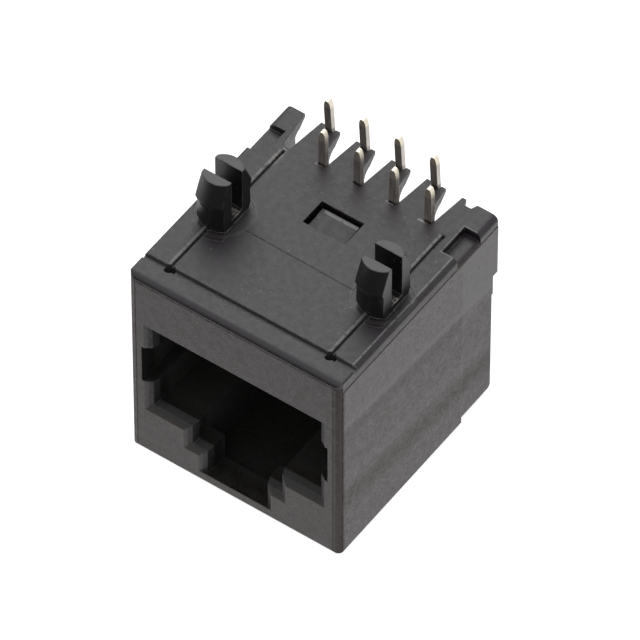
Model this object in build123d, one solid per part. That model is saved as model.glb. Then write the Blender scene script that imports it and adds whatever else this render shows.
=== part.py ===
from build123d import *
import os

os.makedirs("parts", exist_ok=True)

# A right-angle board jack for an eight-way plug.
# +X is to the right seen from the plug side, +Y runs to the rear and +Z stands out of the board face.
# The origin lies on the board face, midway between the two locating pegs.

# Body
body_width = 15.24
body_height = 15.45
front_reach = 6.98
rear_reach = 9.05
top_front_round = 0.42
front_corner_round = 0.5
cover_front_round = 0.1
cover_side_round = 0.1

# Rounding of the long side edges of the board face: on the front strip, up to the pockets and behind them
strip_side_round = 0.12
middle_left_round = 0.15
middle_right_round = 0.38
rear_side_round = 0.42

# Mould lines: between strip and pocket the upper mould half stands in on the right and leans inwards,
# and the front edge ends in a fine line
parting_line = -0.85
parting_step = 0.03
parting_lean = 0.05
front_line_width = 0.1
front_line_depth = 0.05
seam_left = -0.34
seam_right = -0.57
seam_width = 0.06
seam_depth = 0.03

# Rear sleeve, the part of the shell behind the plug cavity
sleeve_start = 5.5
sleeve_reach = 8.6
sleeve_top = -4.92
sleeve_cover_step = 0.4
sleeve_side_step = 0.08
sleeve_side_step_top = -6.5
sleeve_rear_round = 0.3
sleeve_wall = 1.05

# Plug opening, measured inside, then at the mouth
plug_width = 11.84
plug_ceiling = -4.35
plug_floor = -11.15
plug_depth = 12.4
key_width = 6.2
key_floor = -12.75
latch_width = 4.06
latch_floor = -14.75
latch_wall = 1.83
latch_pocket_drop = 0.2
mouth_flare = 0.6
mouth_flare_inner = 0.16
mouth_flare_depth = 0.28
mouth_depth = 0.75
side_notch_reach = 6.72
side_notch_top = -6.15
side_notch_height = 3.05
side_notch_depth = 4.0
rear_wall = 1.2

# Bay over the plug cavity for the contact insert
plate_thickness = 1.1
bay_width = 12.8
bay_front_wall = 2.0
rail_width = 0.8
rail_place = 4.9
slide_clearance = 0.05

# Window in the board face for the insert's latch
window_width = 3.05
window_front = 2.09
window_length = 1.95

# Comb at the rear of the board face, made for ten ways
comb_pitch = 2.54
slot_count = 5
slot_root = 6.26
slot_root_width = 0.56
slot_mouth_width = 1.18
rib_rear = 7.71
rib_depth = 2.2
comb_side_wall = 0.6
lip_thickness = 0.28
lip_root_drop = 0.7
notch_depth = 0.42
notch_mouth_width = 0.8
notch_floor_width = 0.46

# Locating pegs
peg_pitch = 11.43
peg_foot_radius = 1.5
peg_foot_height = 0.4
peg_shaft_radius = 1.66
peg_neck_radius = 1.62
peg_barb_radius = 1.77
peg_tip_radius = 1.25
peg_barb_base = 1.75
peg_barb_crest = 2.26
peg_height = 3.75
peg_flat = 0.98
peg_slot_width = 1.06
peg_slot_floor = 0.45
ring_clearance = 0.06
ring_depth = 0.04
relief_radius = 2.25
relief_side = 1.22
relief_rear = 0.4
relief_depth = 0.1

# Grooves and marks in the board face
groove_width = 0.42
groove_floor_width = 0.26
groove_depth = 0.26
front_groove_place = 1.61
side_groove_width = 0.24
side_groove_floor_width = 0.12
side_groove_shoulder = 0.2
side_groove_shoulder_drop = 0.05
side_groove_place = 5.75
side_groove_rear_shift = 0.11
side_groove_rear_start = 2.35
side_groove_end = 6.0
pit_radius = 0.36
pit_depth = 0.8

# Open pockets at the two sides of the board face
pocket_front = 4.93
pocket_length = 2.33
pocket_reach = 1.18
left_pocket_depth = 0.45
left_pocket_round = 0.08
right_pocket_depth = 0.57
right_pocket_round = 0.38

# Contacts, formed from flat wire with coined pin tips
way_count = 8
pin_pitch = 1.27
spring_pitch = 1.02
wire_width = 0.48
wire_thickness = 0.35
front_row = 6.505
row_pitch = 2.54
front_pin_height = 2.85
rear_pin_height = 2.7
rear_pin_lean = 0.25
pin_tip_flat = 0.1
pin_tip_length = 0.7
wire_run = -2.65
wire_bend = 0.5
rear_rise_top = -0.95
rear_rise_foot = 7.95
jog_rear = 5.4
jog_front = 1.0
jog_bend = 2.0
nose_place = -4.6
nose_bend = 0.95
spring_start = -4.62
spring_tail_place = 4.2
spring_tail = -7.5

# Contact insert
insert_top = -2.3
insert_rear = 7.5
channel_width = 0.56
insert_back_width = 8.9
insert_back_front = 3.2
insert_back_floor = -8.1
comb_slot_depth = 1.8
comb_slot_floor = -7.75
tongue_width = 2.64
tongue_root = -2.2
tongue_free = -0.8
tongue_floor = -1.92
tongue_top = -1.22
tongue_head_low = -0.42
tongue_head_high = -0.32
tongue_gap = 0.17
tongue_root_slope = 0.4

half_width = body_width / 2
cover_face = -body_height
front_face = -front_reach
cavity_end = front_face + plug_depth
bay_front = front_face + bay_front_wall
rear_row = front_row + row_pitch
window_rear = window_front + window_length
insert_floor = plug_ceiling
insert_front = bay_front + slide_clearance
front_groove_line = front_face + front_groove_place
slot_places = [comb_pitch * (k - (slot_count - 1) / 2) - pin_pitch / 2 for k in range(slot_count)]


def block(x0, x1, y0, y1, z0, z1):
    """A box between two limits on each axis."""
    return Pos((x0 + x1) / 2, (y0 + y1) / 2, (z0 + z1) / 2) * Box(x1 - x0, y1 - y0, z1 - z0)


def mirrored_block(x0, x1, y0, y1, z0, z1):
    """The same box on the right and on the left."""
    return block(x0, x1, y0, y1, z0, z1) + block(-x1, -x0, y0, y1, z0, z1)


def side_profile(points, x0, x1):
    """A prism across the jack whose outline is given as (y, z) points."""
    outline = Plane.YZ * make_face(Polyline(*points, close=True))
    return Pos(x0, 0, 0) * extrude(outline, x1 - x0, dir=(1, 0, 0))


def plan_prism(points, z0, z1):
    """A prism that stands on an outline of (x, y) points."""
    return Pos(0, 0, z0) * extrude(make_face(Polyline(*points, close=True)), z1 - z0)


def steps_at(flare, y):
    """The stepped outline of the plug opening at one depth, spread outwards by the flare."""
    main = plug_width / 2 + flare
    key = key_width / 2 + flare
    latch = latch_width / 2 + flare
    top = plug_ceiling + flare / 2
    right = [(main, top), (main, plug_floor - flare), (key, plug_floor - flare),
             (key, key_floor - flare), (latch, key_floor - flare), (latch, latch_floor)]
    left = [(-x, z) for x, z in reversed(right)]
    return Pos(0, y, 0) * (Plane.XZ * make_face(Polyline(*right, *left, close=True)))


def side_outline_prism():
    """The moulding seen from the side, with its rear step and its rounded front and rear edges."""
    sleeve_floor = cover_face + sleeve_cover_step
    outline = [(front_face, cover_face), (sleeve_start, cover_face), (sleeve_start, sleeve_floor),
               (sleeve_reach, sleeve_floor), (sleeve_reach, sleeve_top), (rear_reach, sleeve_top),
               (rear_reach, 0), (front_face, 0)]
    prism = side_profile(outline, -half_width, half_width)
    across = prism.edges().filter_by(Axis.X)
    top_front = across.group_by(Axis.Z)[-1].sort_by(Axis.Y)[0]
    prism = fillet(top_front, top_front_round)
    across = prism.edges().filter_by(Axis.X)
    cover_front = across.group_by(Axis.Z)[0].sort_by(Axis.Y)[0]
    prism = fillet(cover_front, cover_front_round)
    across = prism.edges().filter_by(Axis.X)
    sleeve_rear = across.filter_by_position(Axis.Z, sleeve_floor - 0.01, sleeve_floor + 0.01).sort_by(Axis.Y)[-1]
    return fillet(sleeve_rear, sleeve_rear_round)


def end_outline_prism(y0, y1, left_round, right_round, step, lean):
    """A length of the moulding seen from its end, with its side edges rounded and its parting line."""
    upper = half_width - step
    outline = [(upper - lean, 0), (upper, parting_line), (half_width, parting_line), (half_width, cover_face),
               (-half_width, cover_face), (-half_width, 0)]
    face = Pos(0, y0, 0) * (Plane.XZ * make_face(Polyline(*outline, close=True)))
    prism = extrude(face, y1 - y0, dir=(0, 1, 0))
    top_left = prism.edges().filter_by(Axis.Y).group_by(Axis.Z)[-1].sort_by(Axis.X)[0]
    prism = fillet(top_left, left_round)
    top_right = prism.edges().filter_by(Axis.Y).group_by(Axis.Z)[-1].sort_by(Axis.X)[-1]
    prism = fillet(top_right, right_round)
    return fillet(prism.edges().filter_by(Axis.Y).group_by(Axis.Z)[0], cover_side_round)


def outer_shell():
    """The moulding's outside: its side, end and plan outlines cut to one another."""
    shell = end_outline_prism(front_face, front_groove_line, strip_side_round, strip_side_round, parting_step, 0)
    shell += end_outline_prism(front_groove_line, pocket_front, middle_left_round, middle_right_round,
                               parting_step, parting_lean)
    shell += end_outline_prism(pocket_front, rear_reach, rear_side_round, rear_side_round, parting_step, 0)
    plan = block(-half_width, half_width, front_face, rear_reach, cover_face, 0)
    upright = plan.edges().filter_by(Axis.Z)
    plan = fillet(upright.group_by(Axis.Y)[0], front_corner_round)
    shell = shell & side_outline_prism() & plan
    step = mirrored_block(half_width - sleeve_side_step, half_width + 1, sleeve_start, rear_reach + 1,
                          cover_face - 1, sleeve_side_step_top)
    front_line = block(-half_width, half_width, front_face - 1, front_face + front_line_depth,
                       -top_front_round - front_line_width, -top_front_round)
    return shell - step - front_line


def plug_opening():
    """The room for the plug: a flared mouth, the stepped channel and the pocket behind the latch wall."""
    flare_end = front_face + mouth_flare_depth
    mouth_end = front_face + mouth_depth
    latch_wall_end = front_face + latch_wall
    room = loft([steps_at(mouth_flare, front_face), steps_at(mouth_flare_inner, flare_end)])
    room += loft([steps_at(mouth_flare_inner, flare_end), steps_at(0, mouth_end)])
    room += extrude(steps_at(0, mouth_end), latch_wall_end - mouth_end, dir=(0, 1, 0))
    room += block(-plug_width / 2, plug_width / 2, latch_wall_end, cavity_end, plug_floor, plug_ceiling)
    room += block(-key_width / 2, key_width / 2, latch_wall_end, cavity_end,
                  latch_floor - latch_pocket_drop, plug_floor)
    room += mirrored_block(plug_width / 2 - 1, side_notch_reach, front_face, front_face + side_notch_depth,
                           side_notch_top - side_notch_height, side_notch_top)
    return room


def insert_bay():
    """The room for the insert, open to the plug cavity below and to the rear."""
    bay = block(-bay_width / 2, bay_width / 2, bay_front, rear_reach + 1, plug_ceiling, -plate_thickness)
    ceiling = block(-plug_width / 2, plug_width / 2, bay_front, cavity_end, plug_ceiling, plug_ceiling + 1)
    back = block(-insert_back_width / 2 - slide_clearance, insert_back_width / 2 + slide_clearance,
                 cavity_end, cavity_end + rear_wall, insert_back_floor - slide_clearance, plug_ceiling)
    rear_room = block(-half_width + sleeve_wall, half_width - sleeve_wall, cavity_end + rear_wall,
                      rear_reach + 1, cover_face + sleeve_wall, plug_ceiling)
    behind_ribs = block(-half_width + comb_side_wall, half_width - comb_side_wall, rib_rear, rear_reach + 1,
                        plug_ceiling, -plate_thickness)
    rails = mirrored_block(rail_place - rail_width / 2, rail_place + rail_width / 2, bay_front,
                           slot_root, insert_top + slide_clearance, -plate_thickness)
    return bay + ceiling + back + rear_room + behind_ribs - rails


def comb_teeth():
    """The teeth between the slots: ribs that end in thin lips, all inside the two side walls."""
    root = slot_root
    half_comb = half_width - comb_side_wall
    body = block(-half_comb, half_comb, root, rear_reach, -rib_depth, 0)
    lip_root = rib_rear + lip_root_drop
    profile = make_face([
        Polyline((lip_root, -lip_root_drop), (rear_reach, -lip_thickness), (rear_reach, 0), (root, 0),
                 (root, -rib_depth), (rib_rear, -rib_depth), (rib_rear, -2 * lip_root_drop)),
        TangentArc((rib_rear, -2 * lip_root_drop), (lip_root, -lip_root_drop), tangent=(0, 1)),
    ])
    return body & (Pos(-half_width, 0, 0) * extrude(Plane.YZ * profile, body_width, dir=(1, 0, 0)))


def comb_cuts():
    """The slots that the pins stand in and the notches in the teeth's rear edges."""
    cuts = []
    low = -rib_depth - 1
    for x in slot_places:
        root, mouth = slot_root_width / 2, slot_mouth_width / 2
        cuts.append(plan_prism([(x - root, slot_root), (x + root, slot_root), (x + mouth, rear_reach),
                                (x + mouth, rear_reach + 1), (x - mouth, rear_reach + 1),
                                (x - mouth, rear_reach)], low, 1))
        notch = x + pin_pitch
        floor, mouth = notch_floor_width / 2, notch_mouth_width / 2
        inner = rear_reach - notch_depth
        cuts.append(plan_prism([(notch - floor, inner), (notch + floor, inner),
                                (notch + mouth, rear_reach), (notch + mouth, rear_reach + 1),
                                (notch - mouth, rear_reach + 1), (notch - mouth, rear_reach)], low, 1))
    return cuts


def peg():
    """A split locating peg with a barb and a narrowed foot, flattened on its two sides."""
    outline = Polyline((0, -relief_depth), (peg_foot_radius, -relief_depth), (peg_shaft_radius, peg_foot_height),
                       (peg_neck_radius, peg_barb_base), (peg_barb_radius, peg_barb_crest),
                       (peg_tip_radius, peg_height), (0, peg_height), close=True)
    turned = revolve(Plane.XZ * make_face(outline), Axis.Z)
    flats = block(-peg_flat, peg_flat, -peg_barb_radius, peg_barb_radius, -relief_depth, peg_height)
    slot = block(-peg_flat, peg_flat, -peg_slot_width / 2, peg_slot_width / 2, peg_slot_floor, peg_height)
    return (turned & flats) - slot


def peg_relief():
    """The fine ring sunk round a peg's foot, as wide as its barb, and the deeper recess in front of the peg."""
    ring = Pos(0, 0, (1 - ring_depth) / 2) * Cylinder(peg_barb_radius + ring_clearance, 1 + ring_depth)
    round_part = Pos(0, 0, (1 - relief_depth) / 2) * Cylinder(relief_radius, 1 + relief_depth)
    return ring + (round_part & block(0, relief_side, -relief_radius, -relief_rear, -relief_depth, 1))


def front_groove():
    """The groove across the board face, with slanting walls."""
    top, floor = groove_width / 2, groove_floor_width / 2
    points = [(-top, 0), (-floor, -groove_depth), (floor, -groove_depth), (top, 0), (top, 1), (-top, 1)]
    points = [(front_groove_line + y, z) for y, z in points]
    return side_profile(points, -half_width - 1, half_width + 1)


def side_groove(x, y0, y1):
    """A groove along the board face, whose left wall starts in a gently sloping shoulder."""
    top, floor = side_groove_width / 2, side_groove_floor_width / 2
    points = [(-top - side_groove_shoulder, 0), (-top, -side_groove_shoulder_drop), (-floor, -groove_depth),
              (floor, -groove_depth), (top, 0), (top, 1), (-top - side_groove_shoulder, 1)]
    return Pos(x, y0, 0) * extrude(Plane.XZ * make_face(Polyline(*points, close=True)), y1 - y0, dir=(0, 1, 0))


def seam():
    """The fine mould line that crosses the board face past the pegs."""
    half = seam_width / 2
    return plan_prism([(-half_width - 1, seam_left - half), (half_width + 1, seam_right - half),
                       (half_width + 1, seam_right + half), (-half_width - 1, seam_left + half)],
                      -seam_depth, 1)


def pocket(depth, edge_round):
    """A pocket in the right side, whose floor ends in a rounded outer edge."""
    inner = half_width - pocket_reach
    bend_start = (half_width - edge_round, -depth)
    bend_end = (half_width, -depth - edge_round)
    outline = Polyline((inner, 1), (inner, -depth), bend_start)
    bend = TangentArc(bend_start, bend_end, tangent=(1, 0))
    rest = Polyline(bend_end, (half_width + 1, -depth - edge_round), (half_width + 1, 1), (inner, 1))
    face = Pos(0, pocket_front, 0) * (Plane.XZ * make_face([outline, bend, rest]))
    return extrude(face, pocket_length, dir=(0, 1, 0))


def board_face_marks():
    """The shallow grooves, pits, side pockets and mould line of the board face."""
    marks = [front_groove(), seam()]
    for side in (-1, 1):
        x = side * side_groove_place
        marks.append(side_groove(x, front_groove_line, -peg_foot_radius))
        marks.append(side_groove(x + side_groove_rear_shift, side_groove_rear_start, side_groove_end))
        marks.append(Pos(x, front_groove_line, -pit_depth / 2) * Cylinder(pit_radius, pit_depth))
        marks.append(Pos(side * peg_pitch / 2, 0, 0) * peg_relief())
    right_pocket = pocket(right_pocket_depth, right_pocket_round)
    left_pocket = mirror(pocket(left_pocket_depth, left_pocket_round), Plane.YZ)
    return marks + [right_pocket, left_pocket]


def housing():
    """The one-piece moulded body with its pegs."""
    body = outer_shell() - plug_opening() - insert_bay()
    half_comb = half_width - comb_side_wall
    slot_region = block(-half_comb, half_comb, slot_root, rear_reach + 1, -plate_thickness - 0.1, 1)
    body = body - slot_region + comb_teeth()
    for cut in comb_cuts():
        body -= cut
    for mark in board_face_marks():
        body -= mark
    window = block(-window_width / 2, window_width / 2, window_front, window_rear, -plate_thickness, 1)
    body -= window
    for side in (-1, 1):
        body += Pos(side * peg_pitch / 2, 0, 0) * peg()
    return body


def pin_place(way):
    """The place across the jack of one solder pin."""
    return pin_pitch * (way - (way_count + 1) / 2)


def spring_place(way):
    """The place across the jack of one contact spring."""
    return spring_pitch * (way - (way_count + 1) / 2)


def coined_tip():
    """What is cut away on the right of a pin's tip, so that it ends in a pointed arch."""
    flat, side = pin_tip_flat / 2, wire_width / 2
    arch = EllipticalCenterArc((flat, -pin_tip_length), side - flat, pin_tip_length, arc_size=90)
    rest = Polyline((flat, 0), (flat, 1), (side + 1, 1), (side + 1, -pin_tip_length), (side, -pin_tip_length))
    return extrude(Plane.XZ * make_face([arch, rest]), rear_reach + 1, both=True)


def contact(way):
    """One contact: pin, bend, run through the insert, turn round its nose and spring."""
    x_pin, x_spring = pin_place(way), spring_place(way)
    in_rear_row = way % 2 == 1
    if in_rear_row:
        start = [(x_pin, rear_row - rear_pin_lean, rear_pin_height), (x_pin, rear_row, rear_rise_top),
                 (x_pin, rear_rise_foot, wire_run)]
        bends = [wire_bend, wire_bend]
    else:
        start = [(x_pin, front_row, front_pin_height), (x_pin, front_row, wire_run)]
        bends = [wire_bend]
    route = start + [(x_pin, jog_rear, wire_run), (x_spring, jog_front, wire_run),
                     (x_spring, nose_place, wire_run), (x_spring, nose_place, spring_start),
                     (x_spring, spring_tail_place, spring_tail)]
    bends += [jog_bend, jog_bend, nose_bend, nose_bend]
    path = FilletPolyline(*route, radius=bends)
    section = Plane(origin=path @ 0, x_dir=(1, 0, 0), z_dir=path % 0) * Rectangle(wire_width, wire_thickness)
    rod = sweep(section, path, binormal=(1, 0, 0))
    tip_cut = Pos(x_pin, 0, start[0][2]) * coined_tip()
    return rod - tip_cut - mirror(tip_cut, Plane(origin=(x_pin, 0, 0), z_dir=(1, 0, 0)))


def contact_channel(way):
    """The channel of one contact in the insert's top, and its turn down the nose."""
    x_pin, x_spring, half = pin_place(way), spring_place(way), channel_width / 2
    floor = wire_run - wire_thickness / 2
    top = plan_prism([(x_pin - half, insert_rear + 1), (x_pin - half, jog_rear), (x_spring - half, jog_front),
                      (x_spring - half, insert_front - 1), (x_spring + half, insert_front - 1),
                      (x_spring + half, jog_front), (x_pin + half, jog_rear),
                      (x_pin + half, insert_rear + 1)], floor, insert_top + 0.1)
    nose_floor = nose_place + wire_thickness / 2 + slide_clearance
    nose_end = nose_place + nose_bend + wire_thickness
    nose = block(x_spring - half, x_spring + half, insert_front - 1, nose_end, insert_floor - 1, insert_top)
    core = block(x_spring - half, x_spring + half, nose_floor, nose_end + 1, insert_floor, floor)
    nose_edges = core.edges().filter_by(Axis.X).sort_by(Axis.Y)[:2]
    nose -= fillet(nose_edges, nose_bend - wire_thickness / 2 - slide_clearance)
    slot_end = insert_back_front + comb_slot_depth
    comb = block(x_spring - half, x_spring + half, insert_back_front - 1, slot_end,
                 comb_slot_floor, insert_floor)
    return [top, nose, comb]


def latch_tongue():
    """The flexible tongue whose head snaps into the window of the board face."""
    head_front = window_front + tongue_gap
    head_rear = window_rear - tongue_gap
    ramp_foot = window_front + slide_clearance
    points = [(tongue_root, insert_top), (tongue_free, insert_top), (tongue_free, tongue_floor),
              (head_rear, tongue_floor), (head_rear, tongue_head_high), (head_front, tongue_head_low),
              (ramp_foot, tongue_top), (tongue_root + tongue_root_slope, tongue_top)]
    return side_profile(points, -tongue_width / 2, tongue_width / 2)


def contact_insert():
    """The moulded carrier that holds the contacts and slides in from the rear."""
    half = bay_width / 2 - slide_clearance
    body = block(-half, half, insert_front, insert_rear, insert_floor, insert_top)
    body += block(-insert_back_width / 2, insert_back_width / 2, insert_back_front,
                  cavity_end + rear_wall, insert_back_floor, insert_floor)
    for way in range(1, way_count + 1):
        for cut in contact_channel(way):
            body -= cut
    return body + latch_tongue()


export_step(housing(), "parts/housing.step")
export_step(contact_insert(), "parts/contact_insert.step")
for way in range(1, way_count + 1):
    export_step(contact(way), f"parts/contact_{way}.step")
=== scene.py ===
from math import cos, radians, sin

import bpy
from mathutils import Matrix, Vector


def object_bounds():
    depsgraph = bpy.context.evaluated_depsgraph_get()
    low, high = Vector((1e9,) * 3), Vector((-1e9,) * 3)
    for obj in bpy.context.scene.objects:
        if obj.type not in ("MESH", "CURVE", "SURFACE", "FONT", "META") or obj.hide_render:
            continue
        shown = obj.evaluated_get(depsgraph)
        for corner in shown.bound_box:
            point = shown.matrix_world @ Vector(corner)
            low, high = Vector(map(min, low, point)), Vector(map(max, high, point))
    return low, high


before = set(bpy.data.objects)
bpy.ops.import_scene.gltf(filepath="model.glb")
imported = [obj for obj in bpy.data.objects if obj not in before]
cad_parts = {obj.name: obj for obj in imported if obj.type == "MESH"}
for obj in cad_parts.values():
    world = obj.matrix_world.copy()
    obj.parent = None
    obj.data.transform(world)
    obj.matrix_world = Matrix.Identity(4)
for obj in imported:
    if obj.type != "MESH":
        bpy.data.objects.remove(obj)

cadBounds = [list(corner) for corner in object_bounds()]
scene = bpy.context.scene
millimetresPerMetre = 1000.0
metresPerMillimetre = 0.001
print("frame loaded:", len(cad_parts), "nodes")


# small helpers for shader nodes

def newMaterial(name):
    material = bpy.data.materials.new(name)
    material.use_nodes = True
    material.node_tree.nodes.clear()
    return material, material.node_tree


def addNode(tree, kind, **values):
    node = tree.nodes.new(kind)
    for name, value in values.items():
        if hasattr(node, name):
            setattr(node, name, value)
        else:
            node.inputs[name].default_value = value
    return node


def wire(tree, source, target):
    tree.links.new(source, target)


def feed(tree, value, socket):
    # a plain number, colour or direction is set on the socket, another socket is wired to it
    if isinstance(value, (int, float, tuple)):
        socket.default_value = value
    else:
        wire(tree, value, socket)


def mathNode(tree, operation, *values):
    node = tree.nodes.new("ShaderNodeMath")
    node.operation = operation
    for socket, value in zip(node.inputs, values):
        feed(tree, value, socket)
    return node.outputs[0]


def rampNode(tree, source, low, high, outLow=0.0, outHigh=1.0):
    node = tree.nodes.new("ShaderNodeMapRange")
    node.interpolation_type = "SMOOTHSTEP"
    wire(tree, source, node.inputs["Value"])
    for label, value in (("From Min", low), ("From Max", high), ("To Min", outLow), ("To Max", outHigh)):
        feed(tree, value, node.inputs[label])
    return node.outputs["Result"]


def blendTo(tree, mask, first, second):
    return rampNode(tree, mask, 0.0, 1.0, first, second)


def mixColours(tree, factor, first, second):
    node = tree.nodes.new("ShaderNodeMix")
    node.data_type = "RGBA"
    wire(tree, factor, node.inputs[0])
    feed(tree, first, node.inputs[6])  # sockets 6 and 7 are the colours, as is output 2
    feed(tree, second, node.inputs[7])
    return node.outputs[2]


def allOf(tree, first, *others):
    result = first
    for mask in others:
        result = mathNode(tree, "MULTIPLY", result, mask)
    return result


def bandAt(tree, source, middle, reach):
    away = mathNode(tree, "ABSOLUTE", mathNode(tree, "SUBTRACT", source, middle))
    return rampNode(tree, away, reach, 0.0)


def perMillimetre(tree, value):
    return mathNode(tree, "MULTIPLY", value, millimetresPerMetre)


def placeInMillimetres(tree):
    split = addNode(tree, "ShaderNodeSeparateXYZ")
    wire(tree, addNode(tree, "ShaderNodeTexCoord").outputs["Object"], split.inputs[0])
    return [perMillimetre(tree, split.outputs[axis]) for axis in ("X", "Y", "Z")]


# surface effects that several finishes share, each with what stays the same wherever it is used

def newGroup(name, inputs, outputs):
    group = bpy.data.node_groups.new(name, "ShaderNodeTree")
    for label, value in inputs:
        socket = group.interface.new_socket(label, in_out="INPUT", socket_type="NodeSocketFloat")
        socket.default_value = value
    for label, kind in outputs:
        group.interface.new_socket(label, in_out="OUTPUT", socket_type=kind)
    return group, group.nodes.new("NodeGroupInput"), group.nodes.new("NodeGroupOutput")


grainShape = {"detail": 3.0, "cellScale": 0.7, "cellHeight": 0.5, "toneLow": 0.3, "toneHigh": 0.7}


def buildGrainGroup(look):
    group, given, result = newGroup(
        "erodedGrain",
        [("Grains per mm", 9.0), ("Sharpness", 0.6)],
        [("Height", "NodeSocketFloat"), ("Tone", "NodeSocketFloat")])
    place = addNode(group, "ShaderNodeTexCoord").outputs["Object"]
    scale = perMillimetre(group, given.outputs["Grains per mm"])
    fine = addNode(group, "ShaderNodeTexNoise", Detail=look["detail"])
    wire(group, place, fine.inputs["Vector"])
    wire(group, scale, fine.inputs["Scale"])
    wire(group, given.outputs["Sharpness"], fine.inputs["Roughness"])
    cells = addNode(group, "ShaderNodeTexVoronoi")
    wire(group, place, cells.inputs["Vector"])
    wire(group, mathNode(group, "MULTIPLY", scale, look["cellScale"]), cells.inputs["Scale"])
    height = mathNode(group, "MULTIPLY_ADD", cells.outputs["Distance"], look["cellHeight"], fine.outputs["Fac"])
    wire(group, height, result.inputs["Height"])
    wire(group, rampNode(group, fine.outputs["Fac"], look["toneLow"], look["toneHigh"]), result.inputs["Tone"])
    return group


fleckShape = {"wobbleDetail": 2.0, "wobbleScale": 2.5, "wobbleReach": 0.0003, "core": 0.3}  # reach in metres


def buildFleckGroup(look):
    group, given, result = newGroup(
        "fillerFlecks",
        [("Flecks per mm", 3.0), ("Fleck size", 0.16), ("Share shown", 0.08)],
        [("Mask", "NodeSocketFloat")])
    place = addNode(group, "ShaderNodeTexCoord").outputs["Object"]
    scale = perMillimetre(group, given.outputs["Flecks per mm"])
    wobble = addNode(group, "ShaderNodeTexNoise", Detail=look["wobbleDetail"])
    wire(group, place, wobble.inputs["Vector"])
    wire(group, mathNode(group, "MULTIPLY", scale, look["wobbleScale"]), wobble.inputs["Scale"])
    shifted = addNode(group, "ShaderNodeVectorMath", operation="MULTIPLY_ADD")
    wire(group, wobble.outputs["Color"], shifted.inputs[0])
    feed(group, (look["wobbleReach"],) * 3, shifted.inputs[1])
    wire(group, place, shifted.inputs[2])
    cells = addNode(group, "ShaderNodeTexVoronoi")
    wire(group, shifted.outputs[0], cells.inputs["Vector"])
    wire(group, scale, cells.inputs["Scale"])
    luck = addNode(group, "ShaderNodeSeparateColor")  # two chance values for each cell
    wire(group, cells.outputs["Color"], luck.inputs["Color"])
    chosen = mathNode(group, "LESS_THAN", luck.outputs[0], given.outputs["Share shown"])
    size = mathNode(group, "MULTIPLY", given.outputs["Fleck size"], luck.outputs[1])
    near = rampNode(group, cells.outputs["Distance"], size, mathNode(group, "MULTIPLY", size, look["core"]))
    wire(group, mathNode(group, "MULTIPLY", chosen, near), result.inputs["Mask"])
    return group


cloudShape = {"detail": 4.0, "sharpness": 0.55, "low": 0.3, "high": 0.7}


def buildCloudGroup(look):
    group, given, result = newGroup(
        "handlingClouds",
        [("Clouds per mm", 0.5), ("Contrast", 0.5)],
        [("Tone", "NodeSocketFloat")])
    place = addNode(group, "ShaderNodeTexCoord").outputs["Object"]
    clouds = addNode(group, "ShaderNodeTexNoise", Detail=look["detail"], Roughness=look["sharpness"])
    wire(group, place, clouds.inputs["Vector"])
    wire(group, perMillimetre(group, given.outputs["Clouds per mm"]), clouds.inputs["Scale"])
    spread = mathNode(group, "MULTIPLY", given.outputs["Contrast"], -0.5)  # half below 1 and half above it
    darkest = mathNode(group, "ADD", spread, 1.0)
    lightest = mathNode(group, "SUBTRACT", 2.0, darkest)
    tone = rampNode(group, clouds.outputs["Fac"], look["low"], look["high"], darkest, lightest)
    wire(group, tone, result.inputs["Tone"])
    return group


edgeShape = {"samples": 6, "turnStart": 0.985, "turnFull": 0.8,
             "patchDetail": 3.0, "patchLow": 0.35, "patchHigh": 0.6}


# the edge mask marks where the rounded normal turns away: on the plastic it carries a painted highlight, on the
# wire a paler cream colour
def buildEdgeGroup(look):
    group, given, result = newGroup(
        "edgeWearAndHighlight",
        [("Reach in mm", 0.05), ("Patchiness per mm", 2.0)],
        [("Mask", "NodeSocketFloat"), ("Soft normal", "NodeSocketVector")])
    reach = mathNode(group, "MULTIPLY", given.outputs["Reach in mm"], metresPerMillimetre)
    bevel = addNode(group, "ShaderNodeBevel", samples=look["samples"])
    wire(group, reach, bevel.inputs["Radius"])
    shape = addNode(group, "ShaderNodeNewGeometry")
    along = addNode(group, "ShaderNodeVectorMath", operation="DOT_PRODUCT")
    wire(group, bevel.outputs["Normal"], along.inputs[0])
    wire(group, shape.outputs["True Normal"], along.inputs[1])
    turned = rampNode(group, along.outputs["Value"], look["turnStart"], look["turnFull"])
    place = addNode(group, "ShaderNodeTexCoord").outputs["Object"]
    patches = addNode(group, "ShaderNodeTexNoise", Detail=look["patchDetail"])
    wire(group, place, patches.inputs["Vector"])
    wire(group, perMillimetre(group, given.outputs["Patchiness per mm"]), patches.inputs["Scale"])
    kept = rampNode(group, patches.outputs["Fac"], look["patchLow"], look["patchHigh"])
    wire(group, mathNode(group, "MULTIPLY", turned, kept), result.inputs["Mask"])
    wire(group, bevel.outputs["Normal"], result.inputs["Soft normal"])
    return group


effects = {
    "grain": buildGrainGroup(grainShape),
    "flecks": buildFleckGroup(fleckShape),
    "clouds": buildCloudGroup(cloudShape),
    "edges": buildEdgeGroup(edgeShape),
}


def useEffect(tree, effect, **values):
    node = tree.nodes.new("ShaderNodeGroup")
    node.node_tree = effects[effect]
    for label, value in values.items():
        feed(tree, value, node.inputs[label.replace("_", " ")])
    return node.outputs


print("shared effects built")


# black moulded plastic

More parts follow.
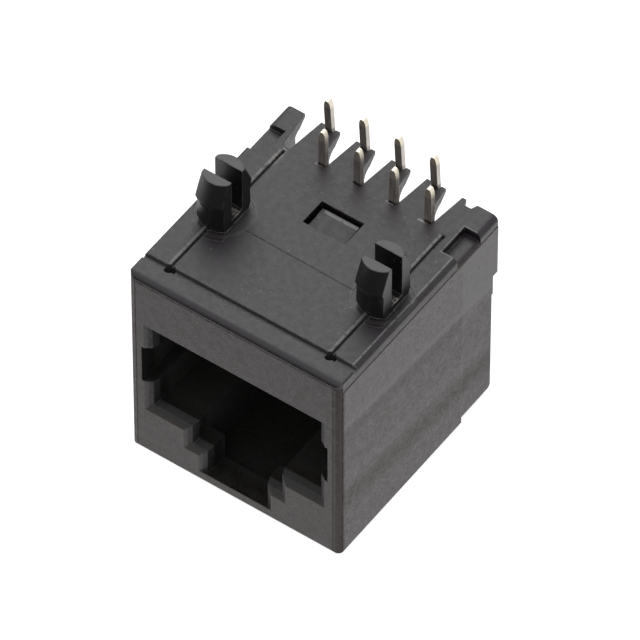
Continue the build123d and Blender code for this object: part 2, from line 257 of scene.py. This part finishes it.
housingLook = {
    "coolDark": (0.0085, 0.006, 0.0085, 1.0), "coolLight": (0.0155, 0.0112, 0.0155, 1.0),  # board face
    "warmDark": (0.021, 0.012, 0.0105, 1.0), "warmLight": (0.035, 0.022, 0.0197, 1.0),  # eroded outer walls
    # the tone inside the cavity is painted shade: a near-black colour where little light reaches
    "cavityPaintedShade": (0.004, 0.0036, 0.003, 1.0), "pegTone": (0.0065, 0.006, 0.0055, 1.0),
    # the groove tone is painted light: a lighter colour on the groove walls where they catch the light
    "grooveWallPaintedLight": (0.075, 0.072, 0.072, 1.0), "grooveSoft": 0.015,
    "flashTone": (0.42, 0.41, 0.39, 1.0), "flashGrain": (0.35, 0.65),
    # the rubbed tone is a painted highlight: a lighter colour along edges, rims, relief outlines and the sunk ring
    # where they catch the light; the shares below set how much each gets
    "paintedHighlightTone": (0.25, 0.243, 0.24, 1.0), "highlightLinePatches": (0.5, 1.0, 0.3, 0.9),
    "edgeReach": 0.10, "ringEdgeReach": 0.01, "edgePatches": 2.0,
    "edgeShare": 0.25, "topEdgeShare": 0.8, "reliefShare": 0.7, "ringShare": 0.12,
    "fleckTone": (0.14, 0.135, 0.13, 1.0), "flecks": 4.0, "fleckSize": 0.38,
    "wallFlecks": 0.03, "boardFlecks": 0.09,
    "clouds": 0.6, "cloudContrast": 0.6, "mottles": 2.2, "mottleContrast": 1.0,
    "ior": 1.58, "wallRoughness": 0.30, "frontRoughness": 0.37, "boardRoughness": 0.485, "pegRoughness": 0.35,
    "cornerRoughness": 0.56, "topCornerRoughness": 0.64, "lineRoughness": 0.75,
    "mouthRoughness": 0.56, "innerRoughness": 0.95,
    "grains": 9.0, "grainSharpness": 0.65, "wallGrain": 0.26, "boardGrain": 0.12, "pegGrain": 0.04,
    "wallMottle": 0.10, "boardMottle": 0.07, "pegMottle": 0.03, "wallHeight": 0.003, "boardHeight": 0.0015,
}

# zones of the moulding: where a mask starts and where it is full, as a place in mm or a share of the normal
zoneLimits = {
    "pegFoot": (0.0, 0.15),
    "boardUp": (0.55, 0.95), "boardDepth": (-1.2, -0.7),
    "roundingAcross": (0.2, 0.4), "roundingUp": (0.2, 0.4), "roundingDepth": (-0.95, -0.85),
    "roundingSide": (7.0, 7.1), "roundingTop": (0.1, 0.0),
    "insideSide": (6.81, 6.79), "insideFront": (-6.90, -6.80), "insideFloor": (-14.98, -14.96),
    "insideRoof": (-4.30, -4.32), "mouth": (-6.2, -4.6),
    "cornerAcross": (0.15, 0.35), "cornerAhead": (0.15, 0.35), "cornerTop": (-0.3, -0.5), "cornerSide": (6.9, 7.0),
    "wallAcross": (0.9, 0.98), "wallTop": (-0.8, -1.0), "frontAhead": (0.5, 0.9),
    "shellTop": (-2.4, -2.6), "shellSide": (7.45, 7.55), "shellFront": (-6.80, -6.88), "outerTop": (-0.25, -0.6),
    "topEdges": (-0.9, -0.5),
}

# soft bands on the side walls, as middle, reach in mm and change of roughness
wallBands = {
    "lean": 0.096, "turn": -4.87, "turnReach": 0.25, "lowerChange": 0.075,
    "bands": [(-4.70, 0.45, -0.09), (-5.60, 0.90, 0.06), (-9.65, 0.90, -0.04), (-11.50, 1.60, 0.12)],
    "rearStart": 5.4, "rearReach": 0.06, "rearFoot": -6.4, "rearFootReach": 0.5, "rearChange": -0.10,
}

# painted highlight lines along edges of the board face that catch the light, as x, y and z limits in mm
paintedHighlightLines = [
    (-6.06, -5.88, -5.3, -1.5, -0.06, 0.01),  # left shoulders of the side grooves
    (-5.95, -5.78, 2.35, 6.0, -0.06, 0.01),
    (5.44, 5.62, -5.3, -1.5, -0.06, 0.01),
    (5.56, 5.73, 2.35, 6.0, -0.06, 0.01),
    (7.16, 7.27, -5.2, 4.9, -0.2, 0.01),  # start of the right rounding
    (6.44, 7.3, 7.27, 7.36, -0.1, 0.01),  # rims of the right pocket
    (6.36, 6.44, 4.85, 7.35, -0.1, 0.01),
    (6.4, 7.25, 4.84, 4.93, -0.1, 0.01),
    (-1.12, 1.30, 3.60, 3.84, -0.42, -0.28),  # rear edge of the latch in the window
]

# bits of pale flash, as x, y and z limits in mm
flashMarks = [
    (-3.58, -2.95, 6.21, 6.33, -0.05, 0.02),  # at the feet of the front pins
    (1.48, 2.05, 6.18, 6.33, -0.05, 0.02),
    (3.84, 4.48, 6.12, 6.26, -0.05, 0.02),
    (-5.84, -5.44, 4.6, 6.15, -0.12, 0.01),  # rear end of the left groove
    (-5.3, -4.65, -0.2, 0.3, 0.35, 0.5),  # slot floors of the pegs
    (6.2, 6.8, -0.3, 0.2, 0.35, 0.5),
]

# thin dull lines along both ends of the front corner rounding, on both sides
cornerLines = [
    (7.06, 7.14, -7.1, -6.9, -15.5, -0.5),
    (7.5, 7.7, -6.73, -6.64, -15.5, -0.5),
]

# the grooves of the board face, whose walls catch some light, which is painted into their colour as painted light
grooveBoxes = [
    (-7.7, 7.7, -5.54, -5.10, -0.3, -0.03),
    (-5.88, -5.62, -5.3, -1.5, -0.3, -0.05),
    (-5.77, -5.51, 2.35, 6.0, -0.3, -0.05),
    (5.62, 5.88, -5.3, -1.5, -0.3, -0.05),
    (5.73, 5.99, 2.35, 6.0, -0.3, -0.05),
    (-6.2, -5.3, -5.8, -4.9, -1.0, -0.05),  # pits where the grooves cross
    (5.3, 6.2, -5.8, -4.9, -1.0, -0.05),
]

# round each peg, in mm from its middle
pegMarks = {
    "pegSide": 5.715, "faceBottom": (-0.15, -0.12), "faceTop": (0.03, 0.01),
    "ringRadius": 1.83, "ringReach": 0.16, "ringFull": 0.2,
    "reliefRadius": 2.25, "reliefSide": 1.22, "reliefRear": -0.4, "lineWidth": 0.06, "lineSoft": 0.05,
    "arcSide": (-0.05, 0.05), "arcFront": (-1.8, -1.9),
}


def insideBox(tree, place, box, soft=0.03):
    masks = []
    for source, low, high in zip(place, box[0::2], box[1::2]):
        middle, half = (low + high) / 2, (high - low) / 2
        away = mathNode(tree, "ABSOLUTE", mathNode(tree, "SUBTRACT", source, middle))
        masks.append(rampNode(tree, away, half + soft, half - soft))
    return allOf(tree, *masks)


def pegMasks(tree, look, place):
    # the sunk ring and the outline of the low relief, the same round both pegs, as masks for painted highlights
    # and for the reach of the soft edges
    x, y, z = place
    pegMiddle = mathNode(tree, "MULTIPLY", mathNode(tree, "SIGN", x), look["pegSide"])
    fromPeg = mathNode(tree, "SUBTRACT", x, pegMiddle)
    square = mathNode(tree, "MULTIPLY_ADD", fromPeg, fromPeg, mathNode(tree, "MULTIPLY", y, y))
    radius = mathNode(tree, "SQRT", square)
    face = allOf(tree, rampNode(tree, z, *look["faceBottom"]), rampNode(tree, z, *look["faceTop"]))
    ring = allOf(tree, face, bandAt(tree, radius, look["ringRadius"], look["ringReach"]))
    ring = rampNode(tree, ring, 0.0, look["ringFull"])
    arc = allOf(tree, bandAt(tree, radius, look["reliefRadius"], look["lineWidth"]),
                rampNode(tree, fromPeg, *look["arcSide"]), rampNode(tree, y, *look["arcFront"]))
    straight = allOf(tree, bandAt(tree, fromPeg, look["reliefSide"], look["lineWidth"]),
                     rampNode(tree, y, look["reliefRear"] + look["lineSoft"], look["reliefRear"]),
                     rampNode(tree, radius, look["reliefRadius"], look["reliefRadius"] - look["lineSoft"]))
    return ring, mathNode(tree, "MULTIPLY", face, mathNode(tree, "MAXIMUM", arc, straight))


def wallChange(tree, look, place):
    # the shallow sinks and the crest that cross the side walls
    x, y, z = place
    slanted = mathNode(tree, "MULTIPLY_ADD", y, look["lean"], z)
    below = rampNode(tree, slanted, look["turn"], look["turn"] - look["turnReach"])
    change = blendTo(tree, below, 0.0, look["lowerChange"])
    for middle, reach, amount in look["bands"]:
        change = mathNode(tree, "MULTIPLY_ADD", bandAt(tree, slanted, middle, reach), amount, change)
    rear = allOf(tree, rampNode(tree, y, look["rearStart"], look["rearStart"] + look["rearReach"]),
                 rampNode(tree, z, look["rearFoot"] - look["rearFootReach"], look["rearFoot"]))
    return mathNode(tree, "MULTIPLY_ADD", rear, look["rearChange"], change)


def mouldingZones(tree, limits, place):
    x, y, z = place
    sideways = mathNode(tree, "ABSOLUTE", x)
    normal = addNode(tree, "ShaderNodeSeparateXYZ")
    wire(tree, addNode(tree, "ShaderNodeNewGeometry").outputs["Normal"], normal.inputs[0])
    across = mathNode(tree, "ABSOLUTE", normal.outputs["X"])
    ahead = mathNode(tree, "ABSOLUTE", normal.outputs["Y"])
    up = normal.outputs["Z"]

    def within(**sources):
        return allOf(tree, *[rampNode(tree, source, *limits[name]) for name, source in sources.items()])

    zones = {"peg": within(pegFoot=z)}
    zones["board"] = mathNode(tree, "MAXIMUM", zones["peg"], within(boardUp=up, boardDepth=z))
    zones["rounding"] = within(roundingAcross=across, roundingUp=up, roundingDepth=z, roundingSide=sideways,
                               roundingTop=z)
    zones["inside"] = within(insideSide=sideways, insideFront=y, insideFloor=z, insideRoof=z)
    zones["mouthToInside"] = within(mouth=y)
    zones["corner"] = within(cornerAcross=across, cornerAhead=ahead, cornerTop=z, cornerSide=sideways)
    zones["sideWall"] = within(wallAcross=across, wallTop=z)
    zones["front"] = within(frontAhead=ahead)
    shell = mathNode(tree, "MAXIMUM", within(shellSide=sideways), within(shellFront=y))
    shell = mathNode(tree, "MAXIMUM", within(shellTop=z), shell)
    outside = mathNode(tree, "SUBTRACT", 1.0, zones["inside"])
    zones["outer"] = allOf(tree, shell, outside, within(outerTop=z))
    zones["topEdges"] = within(topEdges=z)
    lines = [insideBox(tree, (sideways, y, z), box) for box in cornerLines]
    return zones, lines


def surfaceMarks(tree, look, zones, place):
    marks = {
        "grain": useEffect(tree, "grain", Grains_per_mm=look["grains"], Sharpness=look["grainSharpness"]),
        "clouds": useEffect(tree, "clouds", Clouds_per_mm=look["clouds"], Contrast=look["cloudContrast"]),
        "mottle": useEffect(tree, "clouds", Clouds_per_mm=look["mottles"], Contrast=look["mottleContrast"]),
        "flecks": useEffect(tree, "flecks", Flecks_per_mm=look["flecks"], Fleck_size=look["fleckSize"],
                            Share_shown=blendTo(tree, zones["board"], look["wallFlecks"], look["boardFlecks"])),
    }
    marks["ring"], marks["relief"] = pegMasks(tree, pegMarks, place)
    reach = blendTo(tree, marks["ring"], look["edgeReach"], look["ringEdgeReach"])
    marks["edges"] = useEffect(tree, "edges", Reach_in_mm=reach, Patchiness_per_mm=look["edgePatches"])
    return marks


def plasticColour(tree, look, zones, marks, place):
    tone = mathNode(tree, "MULTIPLY", marks["grain"]["Tone"], marks["clouds"]["Tone"])
    cool = mixColours(tree, tone, look["coolDark"], look["coolLight"])
    warm = mixColours(tree, tone, look["warmDark"], look["warmLight"])
    colour = mixColours(tree, zones["outer"], cool, warm)
    # painted shade inside the cavity
    colour = mixColours(tree, zones["inside"], colour, look["cavityPaintedShade"])
    colour = mixColours(tree, zones["peg"], colour, look["pegTone"])
    for box in grooveBoxes:
        # painted light on the groove walls
        colour = mixColours(tree, insideBox(tree, place, box, look["grooveSoft"]), colour, look["grooveWallPaintedLight"])

    # painted highlights: edges, the listed lines, the relief outlines and the sunk ring get a lighter colour that
    # stands in for the light they catch
    edgeShare = blendTo(tree, zones["topEdges"], look["edgeShare"], look["topEdgeShare"])
    paintedHighlight = mathNode(tree, "MULTIPLY", marks["edges"]["Mask"], edgeShare)
    for box in paintedHighlightLines:
        patches = rampNode(tree, marks["mottle"]["Tone"], *look["highlightLinePatches"])
        paintedHighlight = mathNode(tree, "MAXIMUM", paintedHighlight, allOf(tree, insideBox(tree, place, box), patches))
    paintedHighlight = mathNode(tree, "MAXIMUM", paintedHighlight, mathNode(tree, "MULTIPLY", marks["relief"], look["reliefShare"]))
    paintedHighlight = mathNode(tree, "MAXIMUM", paintedHighlight, mathNode(tree, "MULTIPLY", marks["ring"], look["ringShare"]))
    colour = mixColours(tree, paintedHighlight, colour, look["paintedHighlightTone"])

    broken = rampNode(tree, marks["grain"]["Tone"], *look["flashGrain"])
    for box in flashMarks:
        mark = allOf(tree, insideBox(tree, place, box), broken)
        colour = mixColours(tree, mark, colour, look["flashTone"])
    return mixColours(tree, marks["flecks"]["Mask"], colour, look["fleckTone"])


def plasticRoughness(tree, look, zones, lines, marks, place):
    rough = blendTo(tree, zones["front"], look["wallRoughness"], look["frontRoughness"])
    rough = mathNode(tree, "MULTIPLY_ADD", zones["sideWall"], wallChange(tree, wallBands, place), rough)
    rough = blendTo(tree, zones["corner"], rough, look["cornerRoughness"])
    rough = blendTo(tree, zones["board"], rough, look["boardRoughness"])
    rough = blendTo(tree, zones["rounding"], rough, look["topCornerRoughness"])
    rough = blendTo(tree, zones["peg"], rough, look["pegRoughness"])
    for line in lines:
        rough = blendTo(tree, line, rough, look["lineRoughness"])
    within = blendTo(tree, zones["mouthToInside"], look["mouthRoughness"], look["innerRoughness"])
    rough = blendTo(tree, zones["inside"], rough, within)

    # a grain tone of one half and a mottle tone of 1 leave the roughness as it is
    changes = (("Grain", mathNode(tree, "SUBTRACT", marks["grain"]["Tone"], 0.5)),
               ("Mottle", mathNode(tree, "SUBTRACT", 1.0, marks["mottle"]["Tone"])))
    for kind, change in changes:
        depth = blendTo(tree, zones["board"], look["wall" + kind], look["board" + kind])
        depth = blendTo(tree, zones["peg"], depth, look["peg" + kind])
        rough = mathNode(tree, "MULTIPLY_ADD", change, depth, rough)
    return rough


def makePlastic(name, look):
    material, tree = newMaterial(name)
    output = addNode(tree, "ShaderNodeOutputMaterial")
    surface = addNode(tree, "ShaderNodeBsdfPrincipled", IOR=look["ior"])
    place = placeInMillimetres(tree)
    zones, lines = mouldingZones(tree, zoneLimits, place)
    marks = surfaceMarks(tree, look, zones, place)
    wire(tree, plasticColour(tree, look, zones, marks, place), surface.inputs["Base Color"])
    wire(tree, plasticRoughness(tree, look, zones, lines, marks, place), surface.inputs["Roughness"])

    bump = addNode(tree, "ShaderNodeBump", Distance=metresPerMillimetre)
    depth = blendTo(tree, zones["board"], look["wallHeight"], look["boardHeight"])
    wire(tree, mathNode(tree, "MULTIPLY", marks["grain"]["Height"], depth), bump.inputs["Height"])
    wire(tree, marks["edges"]["Soft normal"], bump.inputs["Normal"])
    wire(tree, bump.outputs["Normal"], surface.inputs["Normal"])
    wire(tree, surface.outputs["BSDF"], output.inputs["Surface"])
    return material


insertLook = dict(housingLook, boardFlecks=0.22, boardRoughness=0.52, wallRoughness=0.5, innerRoughness=0.5)
housingPlastic = makePlastic("housingPlastic", housingLook)
insertPlastic = makePlastic("insertPlastic", insertLook)


# plated contact wire, with limits up the wire in mm

wireLook = {
    "tin": (0.70, 0.66, 0.60, 1.0), "dullTin": (0.55, 0.515, 0.47, 1.0),
    "cream": (0.90, 0.83, 0.69, 1.0), "tip": (1.95, 2.25),
    "gold": (0.90, 0.66, 0.30, 1.0), "goldPart": (-4.2, -4.6),
    "stain": (0.20, 0.18, 0.16, 1.0), "stainTop": (0.25, 0.0), "stainBottom": (-2.0, -0.5), "stainShare": 0.7,
    "roughness": 0.45, "streakRoughness": 0.06, "streakHeight": 0.0003,
    "streaks": 14.0, "streakDetail": 3.0, "streakSharpness": 0.6, "streakLimits": (0.35, 0.65),
    "stretch": (1.0, 0.25, 0.06),  # long up the pins and along the springs
    "clouds": 1.6, "cloudContrast": 0.8, "edgeReach": 0.05, "edgePatches": 1.5, "edgeShare": 0.3,
}


def makeWireMetal(name, look):
    material, tree = newMaterial(name)
    output = addNode(tree, "ShaderNodeOutputMaterial")
    surface = addNode(tree, "ShaderNodeBsdfPrincipled", Metallic=1.0)
    place = placeInMillimetres(tree)
    z = place[2]

    # drawing streaks
    stretched = addNode(tree, "ShaderNodeCombineXYZ")
    for source, gain, target in zip(place, look["stretch"], stretched.inputs):
        wire(tree, mathNode(tree, "MULTIPLY", source, gain), target)
    streaks = addNode(tree, "ShaderNodeTexNoise", Scale=look["streaks"], Detail=look["streakDetail"],
                      Roughness=look["streakSharpness"])
    wire(tree, stretched.outputs[0], streaks.inputs["Vector"])
    streak = rampNode(tree, streaks.outputs["Fac"], *look["streakLimits"])
    clouds = useEffect(tree, "clouds", Clouds_per_mm=look["clouds"], Contrast=look["cloudContrast"])
    edges = useEffect(tree, "edges", Reach_in_mm=look["edgeReach"], Patchiness_per_mm=look["edgePatches"])

    colour = mixColours(tree, mathNode(tree, "MULTIPLY", streak, clouds["Tone"]), look["dullTin"], look["tin"])
    colour = mixColours(tree, rampNode(tree, z, *look["tip"]), colour, look["cream"])
    colour = mixColours(tree, rampNode(tree, z, *look["goldPart"]), colour, look["gold"])
    stained = allOf(tree, rampNode(tree, z, *look["stainTop"]), rampNode(tree, z, *look["stainBottom"]),
                    clouds["Tone"], look["stainShare"])
    colour = mixColours(tree, stained, colour, look["stain"])
    colour = mixColours(tree, mathNode(tree, "MULTIPLY", edges["Mask"], look["edgeShare"]), colour, look["cream"])
    wire(tree, colour, surface.inputs["Base Color"])

    fine = mathNode(tree, "SUBTRACT", streak, 0.5)  # half of the streaks are duller, half are shinier
    rough = mathNode(tree, "MULTIPLY_ADD", fine, look["streakRoughness"], look["roughness"])
    wire(tree, rough, surface.inputs["Roughness"])
    bump = addNode(tree, "ShaderNodeBump", Distance=metresPerMillimetre)
    wire(tree, mathNode(tree, "MULTIPLY", streak, look["streakHeight"]), bump.inputs["Height"])
    wire(tree, edges["Soft normal"], bump.inputs["Normal"])
    wire(tree, bump.outputs["Normal"], surface.inputs["Normal"])
    wire(tree, surface.outputs["BSDF"], output.inputs["Surface"])
    return material


wireMetal = makeWireMetal("platedWire", wireLook)
finishes = {"housing": housingPlastic, "contact_insert": insertPlastic}  # all other nodes are contacts

for name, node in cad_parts.items():
    node.data.materials.clear()
    node.data.materials.append(finishes.get(name, wireMetal))
print("finishes given")


# table under the jack, white where the plastic mirrors it, apart from its front

floorLook = {"size": 1.2, "gap": 0.00002, "colour": (0.8, 0.8, 0.8, 1.0), "lift": 0.82, "mirrored": 1.0,
             "mirroredDark": 0.06, "darkStart": 0.019, "darkEnd": 0.036, "darkSide": (0.2588, -0.9659, 0.0)}


def makeFloor(look):
    half, low = look["size"] / 2, cadBounds[0][2] - look["gap"]
    mesh = bpy.data.meshes.new("table")
    corners = [(-half, -half, low), (half, -half, low), (half, half, low), (-half, half, low)]
    mesh.from_pydata(corners, [], [(0, 1, 2, 3)])
    table = bpy.data.objects.new("table", mesh)
    scene.collection.objects.link(table)
    material, tree = newMaterial("tableTop")
    output = addNode(tree, "ShaderNodeOutputMaterial")
    rays = addNode(tree, "ShaderNodeLightPath")
    matt = addNode(tree, "ShaderNodeBsdfDiffuse", Color=look["colour"])
    glow = addNode(tree, "ShaderNodeEmission")  # lifts the table to white for the camera alone
    wire(tree, mathNode(tree, "MULTIPLY", rays.outputs["Is Camera Ray"], look["lift"]), glow.inputs["Strength"])
    lit = addNode(tree, "ShaderNodeAddShader")
    wire(tree, matt.outputs[0], lit.inputs[0])
    wire(tree, glow.outputs[0], lit.inputs[1])

    white = addNode(tree, "ShaderNodeEmission")
    away = addNode(tree, "ShaderNodeVectorMath", operation="DOT_PRODUCT")
    wire(tree, addNode(tree, "ShaderNodeTexCoord").outputs["Object"], away.inputs[0])
    feed(tree, look["darkSide"], away.inputs[1])
    strength = rampNode(tree, away.outputs["Value"], look["darkStart"], look["darkEnd"], look["mirrored"],
                        look["mirroredDark"])
    wire(tree, strength, white.inputs["Strength"])
    mirrored = mathNode(tree, "MAXIMUM", rays.outputs["Is Glossy Ray"], rays.outputs["Is Transmission Ray"])
    tableMix = addNode(tree, "ShaderNodeMixShader")
    wire(tree, mirrored, tableMix.inputs[0])
    wire(tree, lit.outputs[0], tableMix.inputs[1])
    wire(tree, white.outputs[0], tableMix.inputs[2])

    oneSided = addNode(tree, "ShaderNodeMixShader")  # clear from below
    wire(tree, addNode(tree, "ShaderNodeNewGeometry").outputs["Backfacing"], oneSided.inputs[0])
    wire(tree, tableMix.outputs[0], oneSided.inputs[1])
    wire(tree, addNode(tree, "ShaderNodeBsdfTransparent").outputs[0], oneSided.inputs[2])
    wire(tree, oneSided.outputs[0], output.inputs["Surface"])
    mesh.materials.append(material)


makeFloor(floorLook)
print("table set")


# light: a white room that is darker low down at the front, where the plastic mirrors it

worldLook = {"light": 0.4, "shown": 1.0, "colour": (1.0, 1.0, 1.0, 1.0), "darkSide": (0.2588, -0.9659, 0.0),
             "sideStart": 0.40, "sideEnd": 0.85, "heightFull": 0.30, "heightEnd": 0.58, "darkness": 0.55}


def makeWorld(look):
    world = bpy.data.worlds.new("studio")
    world.use_nodes = True
    tree = world.node_tree
    tree.nodes.clear()
    output = addNode(tree, "ShaderNodeOutputWorld")
    light = addNode(tree, "ShaderNodeBackground", Strength=look["light"], Color=look["colour"])
    shown = addNode(tree, "ShaderNodeBackground", Color=look["colour"])
    rays = addNode(tree, "ShaderNodeLightPath")
    direction = addNode(tree, "ShaderNodeTexCoord").outputs["Generated"]
    towards = addNode(tree, "ShaderNodeVectorMath", operation="DOT_PRODUCT")
    wire(tree, direction, towards.inputs[0])
    feed(tree, look["darkSide"], towards.inputs[1])
    height = addNode(tree, "ShaderNodeSeparateXYZ")
    wire(tree, direction, height.inputs[0])
    dark = allOf(tree, rays.outputs["Is Glossy Ray"], look["darkness"],
                 rampNode(tree, towards.outputs["Value"], look["sideStart"], look["sideEnd"]),
                 rampNode(tree, height.outputs["Z"], look["heightEnd"], look["heightFull"]))
    wire(tree, mathNode(tree, "SUBTRACT", look["shown"], dark), shown.inputs["Strength"])
    seen = mathNode(tree, "MAXIMUM", rays.outputs["Is Camera Ray"], rays.outputs["Is Glossy Ray"])
    seen = mathNode(tree, "MAXIMUM", seen, rays.outputs["Is Transmission Ray"])
    mix = addNode(tree, "ShaderNodeMixShader")
    wire(tree, seen, mix.inputs[0])
    wire(tree, light.outputs[0], mix.inputs[1])
    wire(tree, shown.outputs[0], mix.inputs[2])
    wire(tree, mix.outputs[0], output.inputs["Surface"])
    scene.world = world


makeWorld(worldLook)

softboxes = [
    {"name": "topRearBox", "azimuth": 215, "elevation": 52, "distance": 0.5, "size": 0.36, "power": 0.78},
]


def directionTo(azimuth, elevation):
    return Vector((sin(azimuth) * cos(elevation), -cos(azimuth) * cos(elevation), sin(elevation)))


def addSoftbox(look):
    lamp = bpy.data.lights.new(look["name"], "AREA")
    lamp.shape = "SQUARE"
    lamp.size = look["size"]
    lamp.energy = look["power"]
    box = bpy.data.objects.new(look["name"], lamp)
    away = directionTo(radians(look["azimuth"]), radians(look["elevation"]))
    box.location = away * look["distance"]
    box.rotation_euler = away.to_track_quat("Z", "Y").to_euler()
    scene.collection.objects.link(box)


for look in softboxes:
    addSoftbox(look)
print("light set")


# camera at the angle of the photograph

cameraLook = {"azimuth": 35.433, "elevation": 49.632, "distance": 0.572337, "lens": 551.317, "sensor": 36.0,
              "nearest": 0.01, "aimRight": 0.00098574, "aimUp": -0.00379441}


def addCamera(look):
    azimuth, elevation = radians(look["azimuth"]), radians(look["elevation"])
    back = directionTo(azimuth, elevation)
    right = Vector((cos(azimuth), sin(azimuth), 0.0))
    up = back.cross(right)
    data = bpy.data.cameras.new("productCamera")
    data.lens = look["lens"]
    data.sensor_width = look["sensor"]
    data.clip_start = look["nearest"]
    camera = bpy.data.objects.new("productCamera", data)
    camera.location = back * look["distance"] + right * look["aimRight"] + up * look["aimUp"]
    camera.rotation_euler = (radians(90.0) - elevation, 0.0, azimuth)
    scene.collection.objects.link(camera)
    scene.camera = camera


addCamera(cameraLook)
print("camera set")

scene.view_settings.view_transform = "Standard"
